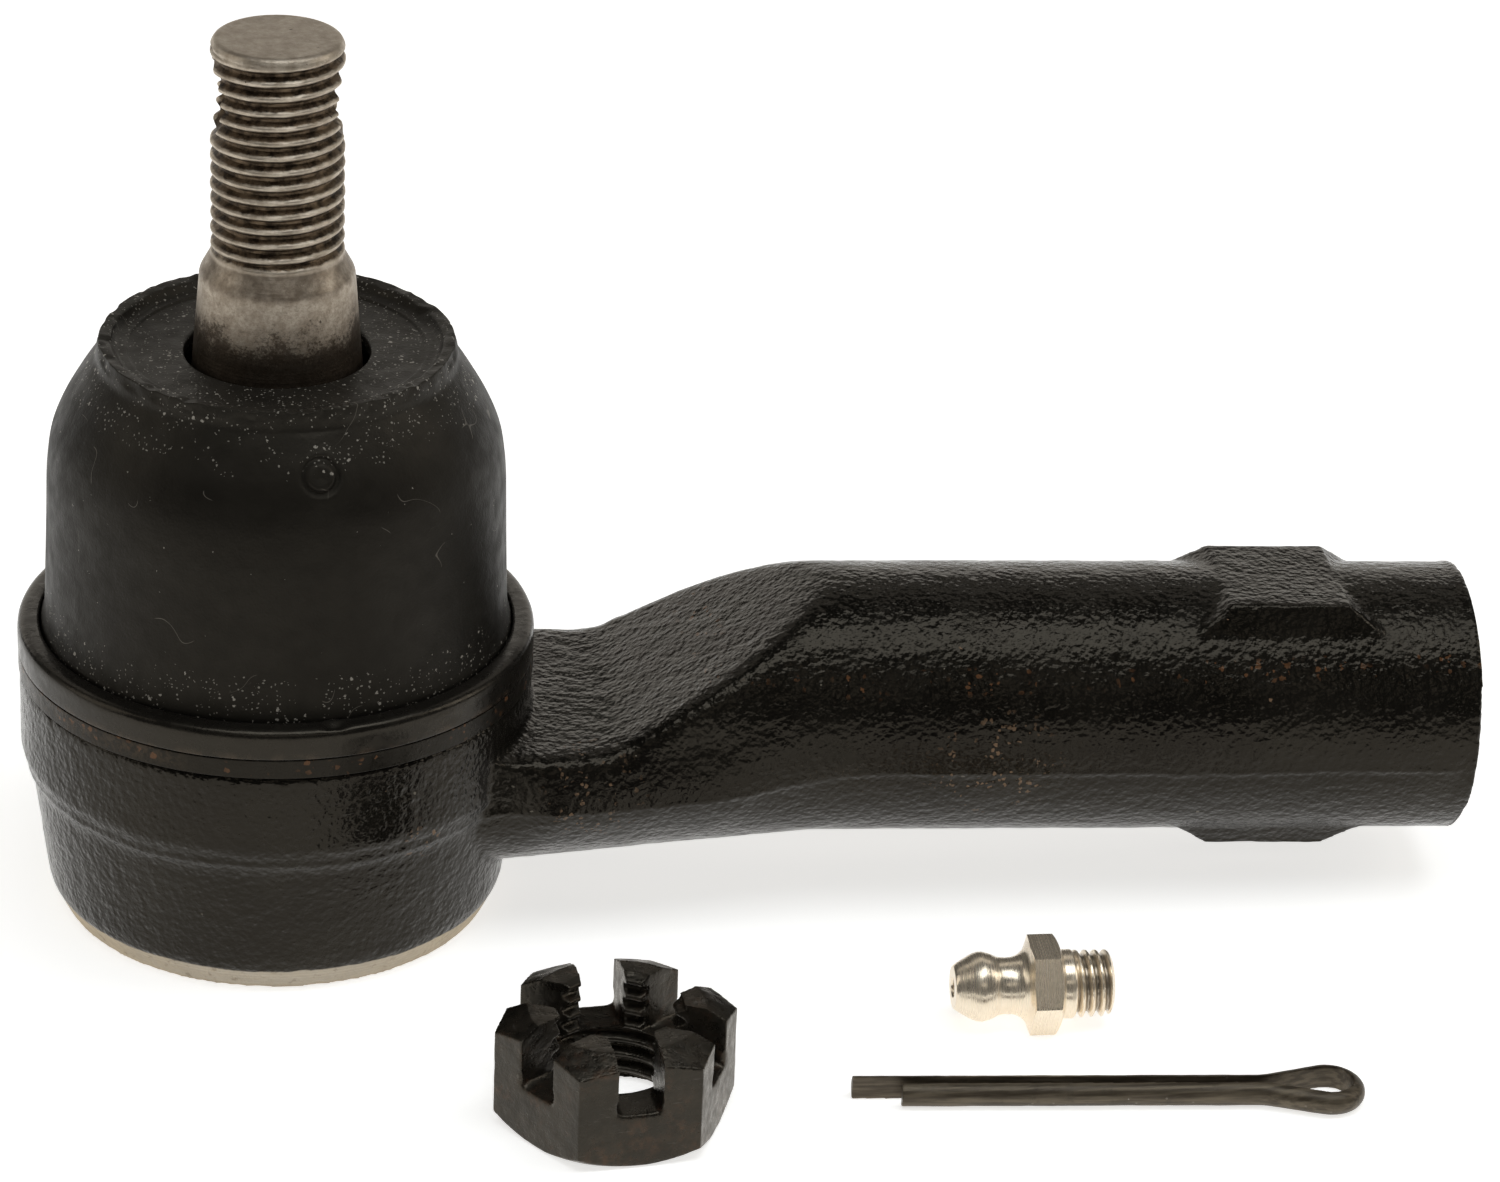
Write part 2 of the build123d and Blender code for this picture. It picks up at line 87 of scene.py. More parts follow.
# Nut
NUT_CENTRE = Vector((27.3, -42.9, 0)) * MM
NUT_BORE_R = 5.19 * MM
NUT_THREAD_R = 6.05 * MM
NUT_THREAD_PITCH = 1.5 * MM
NUT_SLOT_FLOOR = 5.4 * MM
NUT_SLOT_HALF = 1.95 * MM
NUT_SLOT_ANGLE = math.radians(37.3)

# Grease fitting
FITTING_TIP = Vector((59.35, -30.3, 3.97)) * MM
FITTING_FLATS = 7.94 * MM


# ---------------------------------------------------------------- mesh tools

def smoothstep(low, high, value):
    """0 below low and 1 above high, smooth between, on arrays."""
    part = np.clip((value - low) / (high - low), 0, 1)
    return part * part * (3 - 2 * part)


def lumps(points, size, seed=0):
    """Smooth value noise from -1 to 1 at each point. Its lumps are as large as size, one or three lengths."""
    cells = points / np.asarray(size) + 1000.5
    corner = np.floor(cells).astype(np.int64)
    part = cells - corner
    part = part * part * (3 - 2 * part)
    total = np.zeros(len(points))
    for offset in itertools.product((0, 1), repeat=3):
        x, y, z = (corner + offset).T
        mixed = (x * 73856093) ^ (y * 19349663) ^ (z * 83492791) ^ (seed * 2654435761)
        mixed = ((mixed ^ (mixed >> 13)) * 1274126177) & 0xFFFFFFFF
        value = ((mixed ^ (mixed >> 16)) & 0xFFFF) / 0x7FFF - 1
        total += value * np.prod(np.where(offset, part, 1 - part), axis=1)
    return total


def turned(points):
    """Points turned by 0.6 radian about each axis, so that noise lumps don't line up with the axes."""
    turn = Matrix.Rotation(0.6, 3, "X") @ Matrix.Rotation(0.6, 3, "Y") @ Matrix.Rotation(0.6, 3, "Z")
    return points @ np.array(turn).T


def on_surface(angle, r, z):
    """The points of a turned grid as a plain list, for lumps()."""
    return np.stack([r * np.cos(angle), r * np.sin(angle), z], -1).reshape(-1, 3)


def angle_from(angle, centre):
    """The signed angle from centre, between -pi and pi."""
    return (angle - centre + math.pi) % (2 * math.pi) - math.pi


def new_object(name, vertices, faces):
    mesh = bpy.data.meshes.new(name)
    mesh.from_pydata([tuple(v) for v in vertices], [], faces)
    mesh.validate()
    obj = bpy.data.objects.new(name, mesh)
    bpy.context.scene.collection.objects.link(obj)
    return obj


def rounded(corners, step):
    """Points along a polyline of (r, z) or (r, z, fillet) corners, no further apart than step."""
    corners = [(c[0], c[1], c[2] if len(c) > 2 else 0.0) for c in corners]
    route = [np.array(corners[0][:2])]
    for before, here, after in zip(corners, corners[1:], corners[2:]):
        point = np.array(here[:2])
        to_before = np.array(before[:2]) - point
        to_after = np.array(after[:2]) - point
        reach = min(here[2], 0.45 * np.linalg.norm(to_before), 0.45 * np.linalg.norm(to_after))
        if reach <= 0:
            route.append(point)
            continue
        start = point + to_before / np.linalg.norm(to_before) * reach
        end = point + to_after / np.linalg.norm(to_after) * reach
        for t in np.linspace(0, 1, 6):
            route.append((1 - t) ** 2 * start + 2 * t * (1 - t) * point + t**2 * end)
    route.append(np.array(corners[-1][:2]))
    dense = [route[0]]
    for a, b in zip(route, route[1:]):
        count = max(1, math.ceil(np.linalg.norm(b - a) / step))
        dense += [a + (b - a) * k / count for k in range(1, count + 1)]
    return np.array(dense)


def revolved(name, outline, around, change=None, place=None, loop=False, finest=None):
    """A turned solid about local Z from (r, z) outline points. change(angle, r, z) reshapes the grid.
    An open outline starts and ends on the axis, and a loop closes on itself. finest is the angle round which
    the columns lie closest together."""
    rows, count = len(outline), around
    angles = np.arange(count) * 2 * math.pi / count
    if finest is not None:
        angles = finest + angles - 0.7 * np.sin(angles)
    angle = np.tile(angles, (rows, 1))
    r = np.repeat(outline[:, :1], count, axis=1)
    z = np.repeat(outline[:, 1:], count, axis=1)
    if change:
        r, z = change(angle, r.copy(), z.copy())
    vertices = on_surface(angle, r, z)
    faces = []
    for i in range(rows if loop else rows - 1):
        low, high = i * count, ((i + 1) % rows) * count
        for j in range(count):
            k = (j + 1) % count
            faces.append((low + j, low + k, high + k, high + j))
    obj = new_object(name, vertices, faces)
    work = bmesh.new()
    work.from_mesh(obj.data)
    bmesh.ops.remove_doubles(work, verts=work.verts, dist=1e-7)
    bmesh.ops.recalc_face_normals(work, faces=work.faces)
    work.to_mesh(obj.data)
    work.free()
    if place:
        obj.data.transform(place)
    return obj


def apply_modifiers(obj):
    """Replaces an object's mesh by what its modifiers make of it."""
    graph = bpy.context.evaluated_depsgraph_get()
    made = bpy.data.meshes.new_from_object(obj.evaluated_get(graph))
    obj.modifiers.clear()
    obj.data = made
    return obj


def boolean(obj, tool, operation):
    """Joins tool to obj or cuts it away, and removes the tool."""
    cut = obj.modifiers.new(operation, "BOOLEAN")
    cut.operation = operation
    cut.object = tool
    cut.solver = "MANIFOLD"
    apply_modifiers(obj)
    bpy.data.objects.remove(tool)
    return obj


def remeshed(obj, voxel):
    """Rebuilds the mesh as even quads of about voxel, which rounds each edge like a real one."""
    grid = obj.modifiers.new("grid", "REMESH")
    grid.mode = "VOXEL"
    grid.voxel_size = voxel
    grid.adaptivity = 0
    return apply_modifiers(obj)


def cad_copy(node, name):
    """A welded copy of a CAD node's mesh."""
    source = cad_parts[node]
    obj = bpy.data.objects.new(name, source.data.copy())
    obj.data.materials.clear()
    bpy.context.scene.collection.objects.link(obj)
    work = bmesh.new()
    work.from_mesh(obj.data)
    bmesh.ops.remove_doubles(work, verts=work.verts, dist=1e-7)
    work.to_mesh(obj.data)
    work.free()
    return obj


def coordinates(mesh):
    values = np.zeros(len(mesh.vertices) * 3)
    mesh.vertices.foreach_get("co", values)
    return values.reshape(-1, 3)


def move_to(obj, points):
    """Gives an object's vertices new places."""
    obj.data.vertices.foreach_set("co", points.ravel())
    obj.data.update()


def normals(mesh):
    values = np.zeros(len(mesh.vertices) * 3)
    mesh.vertex_normals.foreach_get("vector", values)
    return values.reshape(-1, 3)


def displace(obj, amount):
    """Moves each vertex along its normal by amount(points, directions)."""
    points, directions = coordinates(obj.data), normals(obj.data)
    points += directions * amount(points, directions)[:, None]
    move_to(obj, points)


def relax(obj, turns, share=None):
    """Smooths a mesh, or with share(points), 0 to 1, only where that says."""
    smooth = obj.modifiers.new("relax", "SMOOTH")
    smooth.iterations = turns
    if share:
        steps = 5
        level = np.rint(share(coordinates(obj.data)) * steps).astype(int)
        group = obj.vertex_groups.new(name="relaxed")
        for step in range(1, steps + 1):
            group.add(np.flatnonzero(level == step).tolist(), step / steps, "REPLACE")
        smooth.vertex_group = group.name
    apply_modifiers(obj)


def finished(obj, material, body, slot, *nodes, crease=35):
    """Shades a piece, gives it its material and ties it to the CAD."""
    obj.data.polygons.foreach_set("use_smooth", [True] * len(obj.data.polygons))
    obj.data.set_sharp_from_angle(angle=math.radians(crease))
    obj.data.materials.clear()
    obj.data.materials.append(material)
    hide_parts(*nodes)
    if body:
        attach(obj, body)
    return obj


def thread_groove(angle, z, start, pitch):
    """0 on a thread's crest to 1 in its root, for a right-hand helix that starts at height start."""
    turn = ((z - start) / pitch - angle / (2 * math.pi)) % 1.0
    slope = np.abs(turn - 0.5) * 2
    return 1 - smoothstep(0.12, 0.88, slope)


# ---------------------------------------------------------------- material tools

WARM = (1.0, 0.88, 0.70)            # tint of the soft gloss on black surfaces


class Surface:
    """A Principled material whose nodes are made by short calls. Its coordinates are millimetres."""

    def __init__(self, name):
        self.material = bpy.data.materials.new(name)
        self.material.use_nodes = True
        self.tree = self.material.node_tree
        self.shader = self.tree.nodes["Principled BSDF"]
        place = self.node("ShaderNodeTexCoord").outputs["Object"]
        in_mm = self.node("ShaderNodeVectorMath", operation="SCALE", Vector=place, Scale=1 / MM)
        self.place = in_mm.outputs[0]
        parts = self.node("ShaderNodeSeparateXYZ", Vector=self.place)
        self.x, self.y, self.z = parts.outputs

    def node(self, kind, **values):
        """Adds a node. Names of its settings are set, and names of its inputs are set or linked."""
        made = self.tree.nodes.new(kind)
        settings = {k: v for k, v in values.items() if k in made.bl_rna.properties}
        for key, value in settings.items():
            setattr(made, key, value)
        for key, value in values.items():
            if key not in settings:
                self.put(made.inputs[key.replace("_", " ")], value)
        return made

    def put(self, socket, value):
        if isinstance(value, bpy.types.NodeSocket):
            self.tree.links.new(value, socket)
        elif isinstance(value, tuple) and socket.type == "RGBA" and len(value) == 3:
            socket.default_value = (*value, 1)
        else:
            socket.default_value = value

    def math(self, operation, a, b=0.5):
        made = self.node("ShaderNodeMath", operation=operation)
        self.put(made.inputs[0], a)
        self.put(made.inputs[1], b)
        return made.outputs[0]

    def times(self, first, *others):
        """The product of sockets and numbers."""
        product = first
        for value in others:
            product = self.math("MULTIPLY", product, value)
        return product

    def stretched(self, x=1.0, y=1.0, z=1.0, turn=(0, 0, 0)):
        """Coordinates scaled along each axis, so that a noise draws out into lines."""
        return self.node(
            "ShaderNodeMapping", Vector=self.place, Scale=(x, y, z), Rotation=turn
        ).outputs[0]

    def noise(self, scale, detail=3.0, rough=0.55, vector=None):
        return self.node(
            "ShaderNodeTexNoise",
            Vector=vector or self.place,
            Scale=scale,
            Detail=detail,
            Roughness=rough,
        ).outputs["Fac"]

    def pebbles(self, scale):
        """Height of closely packed rounded dimples."""
        made = self.node("ShaderNodeTexVoronoi", feature="SMOOTH_F1", Vector=self.place, Scale=scale)
        return made.outputs["Distance"]

    def span(self, value, low, high, new_low=0.0, new_high=1.0):
        """Maps low..high to new_low..new_high smoothly, and clamps."""
        made = self.node("ShaderNodeMapRange", interpolation_type="SMOOTHSTEP", Value=value)
        limits = {"From Min": low, "From Max": high, "To Min": new_low, "To Max": new_high}
        for key, number in limits.items():
            self.put(made.inputs[key], number)
        return made.outputs[0]

    def mix(self, share, a, b):
        made = self.node("ShaderNodeMix", data_type="RGBA")
        self.put(made.inputs[0], share)
        self.put(made.inputs[6], a)
        self.put(made.inputs[7], b)
        return made.outputs[2]

    def set(self, **values):
        """Sets or links the shader's inputs, with _ for a space in their names."""
        for key, value in values.items():
            self.put(self.shader.inputs[key.replace("_", " ")], value)

    def bump(self, *layers):
        """Layers are (height, distance in millimetres), stacked."""
        normal = None
        for height, distance in layers:
            made = self.node("ShaderNodeBump", Height=height, Distance=distance * MM)
            if normal:
                self.put(made.inputs["Normal"], normal)
            normal = made.outputs[0]
        self.put(self.shader.inputs["Normal"], normal)

    def specks(self, apart, radius, share, shift=0.0):
        """1 inside scattered ragged specks: the middles of cells that are apart millimetres wide, of which
        only a share is kept, each with its own size up to radius."""
        place = self.node("ShaderNodeVectorMath", operation="ADD", Vector=self.place)
        place.inputs[1].default_value = (shift, 1.7 * shift, 2.3 * shift)
        spot = self.node("ShaderNodeTexVoronoi", Vector=place.outputs[0], Scale=1 / apart)
        away = self.times(spot.outputs["Distance"], apart)
        ragged = self.math("SUBTRACT", self.noise(0.4 / radius, 3), 0.5)
        frayed = self.times(ragged, radius * 4.5)
        red, green, _ = self.node("ShaderNodeSeparateColor", Color=spot.outputs["Color"]).outputs
        reach = self.span(green, 0.0, 1.0, radius * 0.45, radius)
        inside = self.math("LESS_THAN", self.math("ADD", away, frayed), reach)
        return self.times(inside, self.math("LESS_THAN", red, share))


# ---------------------------------------------------------------- materials

def under_ring(s, color):
    """Rust specks and a brown bloom on the paint just under the clamp ring."""
    near = s.times(s.span(s.z, 23.2, 24.6), s.span(s.z, 25.9, 25.3))
    left = s.span(s.math("ADD", s.x, s.times(s.noise(0.4), 6.0)), -4.0, -10.0)
    bloom = s.times(near, left, s.span(s.noise(1.6, 4, 0.7), 0.4, 0.6))
    color = s.mix(s.times(bloom, 0.75), color, (0.045, 0.032, 0.02))
    specks = s.times(s.specks(0.7, 0.26, 0.4, 4.4), near, s.span(s.noise(0.23, 2), 0.42, 0.55))
    return s.mix(s.times(specks, 0.8), color, (0.13, 0.06, 0.028))


def forging_paint():
    s = Surface("forging paint")
    patches = s.noise(0.09, 4)
    film = s.mix(s.span(patches, 0.35, 0.7), (0.0045, 0.0041, 0.0034), (0.0095, 0.0084, 0.0067))

    # Bare turned rim round the socket's bottom
    sideways = s.node("ShaderNodeCombineXYZ", X=s.x, Y=s.y, Z=0.0).outputs[0]
    out = s.node("ShaderNodeVectorMath", operation="LENGTH", Vector=sideways).outputs["Value"]
    edge = s.math("ADD", s.z, s.times(s.noise(0.35, 3), 0.7))
    bare = s.times(s.span(edge, 2.75, 2.5), s.span(out, 24.5, 24.0))
    lines = s.noise(1.0, 2, vector=s.stretched(0.02, 0.02, 9.0))
    steel = s.mix(lines, (0.29, 0.26, 0.215), (0.50, 0.45, 0.375))
    stain = s.span(s.noise(0.8, 5, 0.7), 0.56, 0.66)
    steel = s.mix(s.times(stain, 0.45), steel, (0.12, 0.095, 0.07))

    # Rust where the paint missed the pits: a patch on the shank's parting line, the neck's edge, strays
    def patch(x, y, z, reach):
        away = s.node("ShaderNodeVectorMath", operation="DISTANCE", Vector=s.place)
        away.inputs[1].default_value = (x, y, z)
        return s.span(away.outputs["Value"], reach, reach * 0.4)

    rust_zone = s.math("MAXIMUM", patch(65.5, -12.6, 16.4, 7.5), patch(28.0, -12.5, 15.6, 6.0))
    rust_zone = s.math("MAXIMUM", rust_zone, patch(12.5, -20.0, 14.8, 3.0))
    clumps = s.times(rust_zone, s.span(s.noise(0.5, 3), 0.45, 0.55))
    rust = s.times(s.specks(0.5, 0.19, 0.6, 3.1), clumps)
    rust = s.math("MAXIMUM", rust, s.specks(3.6, 0.17, 0.16, 6.3))
    dust_zone = s.span(s.noise(0.12, 2), 0.42, 0.6, 0.25, 1.0)
    dust = s.times(s.specks(1.9, 0.13, 0.16, 11.7), dust_zone)
    color = under_ring(s, film)
    color = s.mix(s.times(rust, 0.85), color, (0.20, 0.125, 0.075))
    color = s.mix(s.times(dust, 0.8), color, (0.26, 0.235, 0.19))
    color = s.mix(bare, color, steel)
    s.set(Base_Color=color, Metallic=bare)

    dull = s.span(s.noise(0.25, 4), 0.35, 0.7, 0.13, 0.24)
    roughness = s.math("ADD", dull, s.times(s.math("MAXIMUM", rust, bare), 0.3))
    s.set(Roughness=roughness, Specular_IOR_Level=0.255, Specular_Tint=WARM)
    s.bump((s.noise(1.1, 2), 0.12), (s.pebbles(1.9), -0.09), (s.noise(3.2, 2), 0.045))
    return s.material


def boot_rubber():
    s = Surface("boot rubber")
    color = s.mix(s.noise(0.12, 4), (0.0040, 0.0037, 0.0031), (0.0098, 0.0089, 0.0074))
    high = s.span(s.z, 48.5, 53.5)
    low = s.span(s.z, 36.0, 28.0)
    zone = s.math("MAXIMUM", s.math("MAXIMUM", high, low), 0.32)
    patchy = s.span(s.noise(0.2, 3), 0.33, 0.56, 0.35, 1.0)
    spread = s.times(zone, patchy)
    fine = s.times(s.specks(0.36, 0.085, 0.75, 5.3), s.math("GREATER_THAN", spread, s.noise(0.9, 2)))
    coarse = s.times(s.specks(0.8, 0.15, 0.4, 9.1), s.math("GREATER_THAN", spread, s.noise(0.5, 2)))
    strays = s.specks(2.2, 0.13, 0.25, 2.9)
    film = s.times(high, patchy, 0.05)
    color = s.mix(film, color, (0.20, 0.18, 0.15))
    color = s.mix(s.times(fine, 0.65), color, (0.32, 0.30, 0.26))
    pale_dust = (0.38, 0.355, 0.31)
    color = s.mix(s.times(coarse, 0.75), color, pale_dust)
    color = s.mix(s.times(strays, 0.6), color, pale_dust)

    # Lint: short curly threads where a noise crosses its middle
    tilted = s.stretched(turn=(0.4, 0.9, 0.2))
    wave = s.math("ABSOLUTE", s.math("SUBTRACT", s.noise(0.16, 1, vector=tilted), 0.5))
    thread = s.span(wave, 0.0028, 0.0012)
    pieces = s.span(s.noise(0.21, 0), 0.64, 0.67)
    color = s.mix(s.times(thread, pieces, 0.3), color, (0.30, 0.27, 0.23))
    flange = s.span(s.z, 25.6, 25.4)
    color = s.mix(flange, color, under_ring(s, (0.0085, 0.0075, 0.0060)))
    s.set(Base_Color=color)
    smooth = s.span(s.noise(0.5, 4), 0.3, 0.75, 0.42, 0.56)
    s.set(Roughness=s.math("SUBTRACT", smooth, s.times(flange, 0.18)))
    s.set(Specular_IOR_Level=0.205, Specular_Tint=WARM)
    s.bump((s.noise(0.45, 3), 0.10), (s.noise(4.0, 3), 0.03), (s.math("MAXIMUM", fine, coarse), 0.05))
    return s.material


def ring_paint():
    s = Surface("ring paint")
    color = s.mix(s.noise(0.3, 3), (0.0055, 0.0050, 0.0042), (0.0105, 0.0092, 0.0075))
    dust = s.times(s.specks(1.2, 0.12, 0.25, 7.7), s.span(s.noise(0.25, 2), 0.45, 0.55))
    color = s.mix(s.times(dust, 0.6), color, (0.25, 0.22, 0.18))
    brown = s.times(s.span(s.z, 26.3, 25.5), s.span(s.noise(0.5, 4), 0.45, 0.6))
    color = s.mix(s.times(brown, 0.7), color, (0.045, 0.032, 0.022))
    s.set(Base_Color=color, Roughness=s.span(s.noise(0.6, 3), 0.3, 0.7, 0.22, 0.33))
    s.set(Specular_IOR_Level=0.34, Specular_Tint=WARM)
    s.bump((s.noise(0.7, 2), 0.05), (s.noise(4.0, 2), 0.008))
    return s.material


def stud_steel():
    s = Surface("stud steel")
    recess = s.node("ShaderNodeAttribute", attribute_name="recess").outputs["Fac"]
    mottled = s.noise(0.8, 5, 0.65)
    light = s.mix(s.span(mottled, 0.3, 0.7), (0.37, 0.31, 0.24), (0.56, 0.49, 0.40))
    # Thread roots: painted shade that deepens under the crest, mixed with brown grime; noise makes it patchy
    dark = s.mix(s.span(s.noise(0.9, 4, 0.65), 0.35, 0.65), (0.026, 0.017, 0.010), (0.17, 0.122, 0.078))
    root_shade_and_grime = s.math("ADD", recess, s.times(s.math("SUBTRACT", s.noise(1.3, 4, 0.65), 0.5), 0.7))
    color = s.mix(s.span(root_shade_and_grime, 0.12, 0.48), light, dark)

    # The taper is darker and browner towards the boot: partly brown staining, partly painted shade under the
    # boot. It is grained all over.
    low = s.math("ADD", s.z, s.times(s.noise(0.35, 4, 0.65), 9.0))
    browned_and_shaded = s.span(low, 68.5, 57.5)
    on_taper = s.span(s.z, 64.4, 63.6)
    grain = s.span(s.noise(3.4, 4, 0.75), 0.45, 0.62)
    color = s.mix(s.times(grain, on_taper, 0.3), color, (0.15, 0.11, 0.075))
    shoulder = s.times(s.span(s.z, 61.6, 62.6), s.span(s.z, 64.9, 64.0))
    stained = s.times(shoulder, s.span(s.noise(0.6, 4), 0.35, 0.6, 0.2, 0.6))
    color = s.mix(stained, color, (0.12, 0.085, 0.055))
    flecks = s.span(s.math("SUBTRACT", browned_and_shaded, s.noise(3.6, 4, 0.75)), -0.08, 0.16)
    color = s.mix(s.times(browned_and_shaded, 0.62), color, (0.125, 0.088, 0.058))
    color = s.mix(s.times(flecks, 0.75), color, (0.040, 0.027, 0.017))
    color = s.mix(s.times(s.specks(1.1, 0.12, 0.14, 2.2), 0.8), color, (0.05, 0.035, 0.024))
    color = s.mix(s.span(s.z, 84.35, 84.5, 0.0, 0.42), color, (0.20, 0.165, 0.13))     # painted shade: the flat end face darkened
    s.set(Base_Color=color, Metallic=0.85)
    s.set(Roughness=s.span(s.noise(2.0, 4), 0.3, 0.7, 0.38, 0.54))
    turning = s.noise(1.0, 2, vector=s.stretched(0.05, 0.05, 5.0))
    s.bump((turning, 0.02), (s.noise(4.2, 3, 0.7), 0.03))
    return s.material


def black_oxide():
    s = Surface("black oxide")
    worn = s.node("ShaderNodeNewGeometry").outputs["Pointiness"]
    edge = s.span(worn, 0.53, 0.62)
    cloudy = s.span(s.noise(0.35, 5, 0.65), 0.4, 0.65)
    color = s.mix(cloudy, (0.0075, 0.0068, 0.0056), (0.020, 0.0165, 0.0125))
    patches = s.times(s.span(s.noise(0.24, 5, 0.7), 0.5, 0.68), s.span(s.noise(1.6, 4), 0.35, 0.7))
    color = s.mix(s.times(patches, 0.8), color, (0.060, 0.030, 0.017))
    color = s.mix(s.times(edge, 0.45), color, (0.13, 0.12, 0.105))
    scratches = s.span(s.noise(1.0, 3, vector=s.stretched(0.5, 0.7, 7.0, (0.5, 0.3, 0.2))), 0.66, 0.72)
    color = s.mix(s.times(scratches, 0.3), color, (0.14, 0.13, 0.12))
    s.set(Base_Color=color, Metallic=0.2, Specular_IOR_Level=0.5, Specular_Tint=WARM)
    s.set(Roughness=s.span(s.noise(0.9, 4), 0.3, 0.7, 0.22, 0.40))
    s.bump((s.noise(0.9, 4, 0.6), 0.10), (s.noise(4.5, 3), 0.025))
    return s.material


def nickel_plate():
    s = Surface("nickel plate")
    turning = s.noise(1.0, 3, vector=s.stretched(9.0, 0.05, 0.05))
    color = s.mix(s.noise(0.8, 3), (0.84, 0.72, 0.555), (0.93, 0.82, 0.66))
    recess = s.node("ShaderNodeAttribute", attribute_name="recess").outputs["Fac"]
    # Painted shade: the thread roots darkened by their depth under the crest
    color = s.mix(s.span(recess, 0.5, 1.0, 0.0, 0.7), color, (0.18, 0.15, 0.12))
    stains = s.times(s.specks(0.8, 0.10, 0.10, 6.0), 0.5)
    color = s.mix(stains, color, (0.16, 0.13, 0.10))
    s.set(Base_Color=color, Metallic=0.78, Roughness=s.span(turning, 0.3, 0.7, 0.20, 0.32))
    s.bump((turning, 0.012), (s.noise(1.6, 2), 0.010))
    return s.material


def pin_steel():
    s = Surface("pin steel")
    drawn = s.noise(1.0, 4, vector=s.stretched(0.12, 2.4, 2.4, (0, 0, math.radians(3.4))))
    color = s.mix(s.span(drawn, 0.35, 0.7), (0.056, 0.043, 0.028), (0.150, 0.122, 0.084))
    blots = s.span(s.noise(0.5, 5, 0.7), 0.55, 0.75)
    color = s.mix(s.times(blots, 0.5), color, (0.030, 0.022, 0.015))
    worn = s.span(s.node("ShaderNodeNewGeometry").outputs["Pointiness"], 0.54, 0.64)
    color = s.mix(s.times(worn, 0.5), color, (0.24, 0.21, 0.17))
    color = s.mix(s.times(s.specks(1.6, 0.10, 0.12, 1.0), 0.8), color, (0.3, 0.28, 0.25))
    s.set(Base_Color=color, Metallic=0.55, Roughness=s.span(drawn, 0.3, 0.7, 0.36, 0.5))
    s.bump((drawn, 0.03), (s.noise(4.0, 3), 0.02))
    return s.material


# Darkest colour, lightest colour and lowest roughness of the steels inside
BEARING_METAL = ((0.20, 0.18, 0.15), (0.33, 0.31, 0.27), 0.4)
SPRING_STEEL = ((0.12, 0.12, 0.13), (0.26, 0.26, 0.27), 0.3)
PRESSED_PLATE = ((0.34, 0.33, 0.31), (0.5, 0.49, 0.46), 0.32)


def inner_steel(name, dark, light, roughness):
    """Plain machined steel for the pieces inside, with fine turning lines and oil stains."""
    s = Surface(name)
    lines = s.noise(1.0, 2, vector=s.stretched(0.1, 0.1, 6.0))
    color = s.mix(s.noise(0.3, 4), dark, light)
    color = s.mix(s.span(s.noise(0.18, 5), 0.52, 0.7, 0.0, 0.5), color, tuple(0.45 * c for c in dark))
    s.set(Base_Color=color, Metallic=0.9, Roughness=s.span(lines, 0.3, 0.7, roughness, roughness + 0.15))
    s.bump((lines, 0.02), (s.noise(3.0, 3), 0.015))
    return s.material


def pale_floor():
    """A light table: a pale sheet lit from above and from within, dimmer towards its front."""
    s = Surface("pale floor")
    white = s.mix(s.noise(0.02, 2), (0.80, 0.80, 0.795), (0.82, 0.82, 0.815))
    s.set(Base_Color=white, Roughness=0.9, Specular_IOR_Level=0.1)
    dimmed = s.span(s.y, -62.0, -380.0, 0.70, 0.36)
    s.set(Emission_Color=(1.0, 0.992, 0.975), Emission_Strength=dimmed)
    return s.material


# ---------------------------------------------------------------- pieces

# Outlines are (r, z) or (r, z, fillet) corners, in millimetres until they are multiplied by MM.

def screw_plug(name, root_r, crest_r, pitch, length, mouth_r=0.0, point=0.0):
    """A threaded rod along local +Z from z = 0, which cuts an internal thread: its crests are the grooves."""
    depth = crest_r - root_r

    def change(angle, r, z):
        on_thread = (r > root_r * 0.99).astype(float)
        groove = thread_groove(angle, z, 0.0, pitch)
        fade = smoothstep(length, length - 1.5 * pitch, z)
        return r + on_thread * depth * (1 - groove) * fade, z

    row = pitch / 10
    corners = [(0, -pitch), (mouth_r or root_r, -pitch), (root_r, 0), (root_r, length), (0, length + point)]
    outline = rounded(corners, row)
    return revolved(name, outline, 96, change)


def parting_height(x):
    """Height in mm, at x in mm, of the forging dies' parting line: level round the socket, then along the
    shank's axis a little under it."""
    on_socket = 14.3
    under_axis = 1.8
    on_shank = (SHANK_MOUTH.z / MM) + (SHANK_MOUTH.x / MM - x) * math.tan(SHANK_DROOP) - under_axis
    return on_socket + (on_shank - on_socket) * smoothstep(34.0, 58.0, x)


def neck_bulge(obj):
    """Widens the neck towards the parting line, as the dies' draft leaves it."""
    widening, half_width = 1.5, 12.0
    points = coordinates(obj.data)
    x, y, z = (points / MM).T
    along = smoothstep(20.5, 25.0, x) * smoothstep(50.0, 38.0, x) * (np.hypot(x, y) > 23.9)
    part = parting_height(x)
    profile = np.interp(z - part, (-7.0, -0.6, 0.0, 1.6, 3.2, 4.9), (0.0, 0.80, 1.0, 0.62, 0.45, 0.0))
    points[:, 1] *= 1 + along * profile * widening / half_width
    move_to(obj, points)


